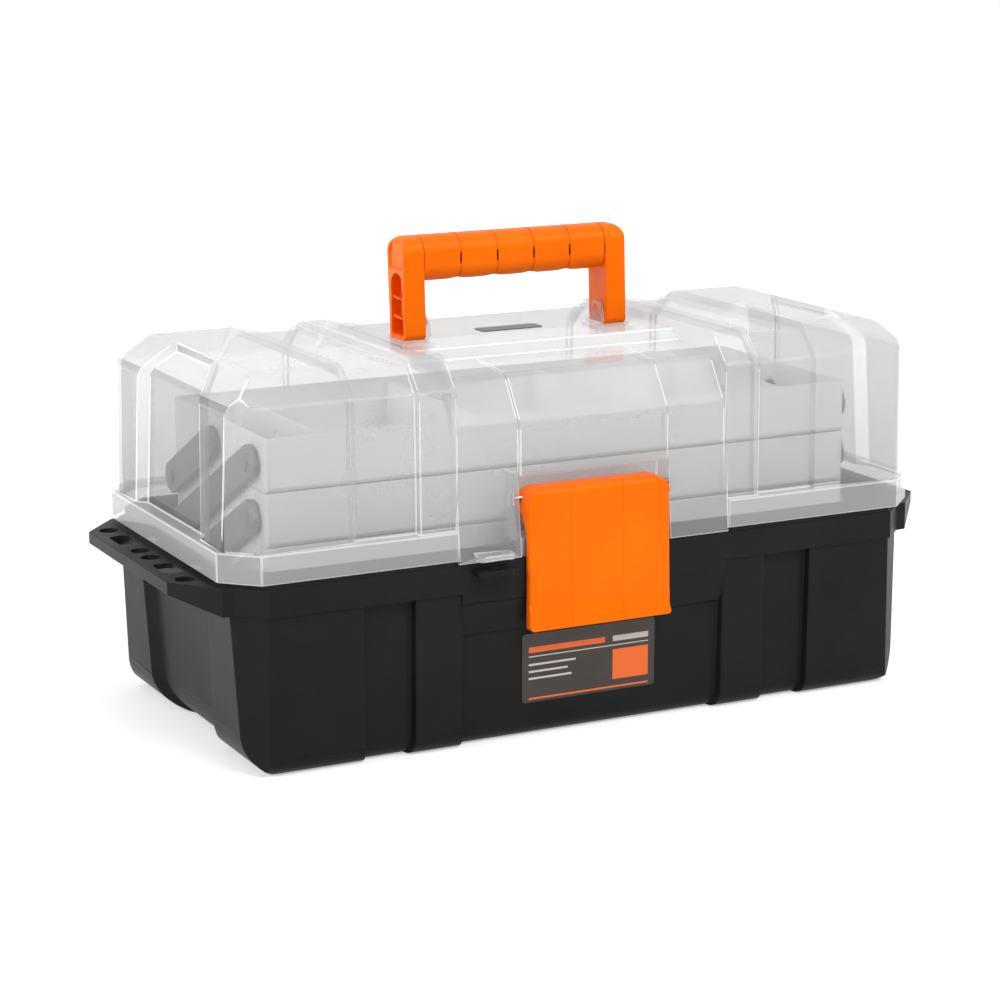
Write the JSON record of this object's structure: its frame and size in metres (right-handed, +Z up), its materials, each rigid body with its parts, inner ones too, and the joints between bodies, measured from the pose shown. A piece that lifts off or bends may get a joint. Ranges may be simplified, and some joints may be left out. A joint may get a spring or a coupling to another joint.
{
  "type": "cantilever toolbox",
  "caption": "Portable toolbox with a clear hinged lid, cantilever trays that swing up and back with it, a folding handle, a front latch and slotted tool flanges at both ends.",
  "frame": {"origin": "centre of the tub's bottom face, on the surface that the toolbox stands on", "axes": "+X to the right along the front, +Y to the rear hinge, +Z up"},
  "size_m": [0.445, 0.215, 0.254],
  "materials": {
    "black_plastic": "satin grained black polypropylene",
    "clear_plastic": "clear polypropylene, slightly milky, glossy outside",
    "tray_plastic": "frosted natural polypropylene",
    "orange_plastic": "smooth satin orange polypropylene",
    "arm_plastic": "dark grey moulded plastic",
    "pin_steel": "bright drawn wire",
    "label_film": null,
    "badge_film": "plain black film"
  },
  "bodies": {
    "base": {"base_tub": "black_plastic", "base_arm_pins": "arm_plastic", "front_label": "label_film", "lid_hinge_pins": "pin_steel"},
    "lid": {"lid_shell": "clear_plastic", "lid_badge": "badge_film", "handle_pins": "orange_plastic", "latch_pin": "pin_steel"},
    "handle": {"handle": "orange_plastic"},
    "latch": {"latch": "orange_plastic"},
    "tray_bottom": {"tray_bottom": "tray_plastic", "tray_bottom_pins": "arm_plastic"},
    "tray_middle": {"tray_middle": "tray_plastic", "tray_middle_pins": "arm_plastic"},
    "tray_top": {"tray_top": "tray_plastic", "tray_top_pins": "arm_plastic"},
    "arm_long_top_left": {"arm_long_top_left": "arm_plastic"},
    "arm_long_top_right": {"arm_long_top_right": "arm_plastic"},
    "arm_short_top_left": {"arm_short_top_left": "arm_plastic"},
    "arm_short_top_right": {"arm_short_top_right": "arm_plastic"},
    "arm_long_base_left": {"arm_long_base_left": "arm_plastic"},
    "arm_long_base_right": {"arm_long_base_right": "arm_plastic"},
    "arm_short_base_left": {"arm_short_base_left": "arm_plastic"},
    "arm_short_base_right": {"arm_short_base_right": "arm_plastic"}
  },
  "joints": [
    {"name": "lid_hinge", "type": "hinge", "parent": "base", "child": "lid", "pos_m": [0, 0.104, 0.101], "axis": [-1, 0, 0], "range_deg": [0, 105]},
    {"name": "arm_long_base_left_pivot", "type": "hinge", "parent": "base", "child": "arm_long_base_left", "pos_m": [0, 0.057, 0.0686], "axis": [-1, 0, 0], "range_deg": [0, 52.5]},
    {"name": "arm_long_base_right_pivot", "type": "hinge", "parent": "base", "child": "arm_long_base_right", "pos_m": [0, 0.057, 0.0686], "axis": [-1, 0, 0], "range_deg": [0, 52.5]},
    {"name": "arm_short_base_left_pivot", "type": "hinge", "parent": "base", "child": "arm_short_base_left", "pos_m": [0, 0.002, 0.0686], "axis": [-1, 0, 0], "range_deg": [0, 52.5]},
    {"name": "arm_short_base_right_pivot", "type": "hinge", "parent": "base", "child": "arm_short_base_right", "pos_m": [0, 0.002, 0.0686], "axis": [-1, 0, 0], "range_deg": [0, 52.5]},
    {"name": "tray_bottom_pivot", "type": "hinge", "parent": "arm_long_base_left", "child": "tray_bottom", "pos_m": [0, 0.002, 0.0968], "axis": [1, 0, 0], "range_deg": [0, 52.5]},
    {"name": "tray_middle_pivot", "type": "hinge", "parent": "arm_long_base_left", "child": "tray_middle", "pos_m": [0, -0.053, 0.125], "axis": [1, 0, 0], "range_deg": [0, 52.5]},
    {"name": "arm_long_top_left_pivot", "type": "hinge", "parent": "tray_bottom", "child": "arm_long_top_left", "pos_m": [0, 0.057, 0.0968], "axis": [-1, 0, 0], "range_deg": [0, 52.5]},
    {"name": "arm_long_top_right_pivot", "type": "hinge", "parent": "tray_bottom", "child": "arm_long_top_right", "pos_m": [0, 0.057, 0.0968], "axis": [-1, 0, 0], "range_deg": [0, 52.5]},
    {"name": "arm_short_top_left_pivot", "type": "hinge", "parent": "tray_middle", "child": "arm_short_top_left", "pos_m": [0, 0.057, 0.125], "axis": [-1, 0, 0], "range_deg": [0, 52.5]},
    {"name": "arm_short_top_right_pivot", "type": "hinge", "parent": "tray_middle", "child": "arm_short_top_right", "pos_m": [0, 0.057, 0.125], "axis": [-1, 0, 0], "range_deg": [0, 52.5]},
    {"name": "tray_top_pivot", "type": "hinge", "parent": "arm_long_top_left", "child": "tray_top", "pos_m": [0, -0.053, 0.1532], "axis": [1, 0, 0], "range_deg": [0, 52.5]},
    {"name": "handle_hinge", "type": "hinge", "parent": "lid", "child": "handle", "pos_m": [0, -0.0015, 0.208], "axis": [1, 0, 0], "range_deg": [0, 90]},
    {"name": "latch_hinge", "type": "hinge", "parent": "lid", "child": "latch", "pos_m": [0, -0.092, 0.1285], "axis": [-1, 0, 0], "range_deg": [0, 95]}
  ],
  "couplings": [
    {"joint": "arm_long_base_left_pivot", "follows": "lid_hinge", "ratio": 0.5},
    {"joint": "arm_long_base_right_pivot", "follows": "lid_hinge", "ratio": 0.5},
    {"joint": "arm_short_base_left_pivot", "follows": "lid_hinge", "ratio": 0.5},
    {"joint": "arm_short_base_right_pivot", "follows": "lid_hinge", "ratio": 0.5},
    {"joint": "tray_bottom_pivot", "follows": "lid_hinge", "ratio": 0.5},
    {"joint": "tray_middle_pivot", "follows": "lid_hinge", "ratio": 0.5},
    {"joint": "arm_long_top_left_pivot", "follows": "lid_hinge", "ratio": 0.5},
    {"joint": "arm_long_top_right_pivot", "follows": "lid_hinge", "ratio": 0.5},
    {"joint": "arm_short_top_left_pivot", "follows": "lid_hinge", "ratio": 0.5},
    {"joint": "arm_short_top_right_pivot", "follows": "lid_hinge", "ratio": 0.5},
    {"joint": "tray_top_pivot", "follows": "lid_hinge", "ratio": 0.5}
  ]
}
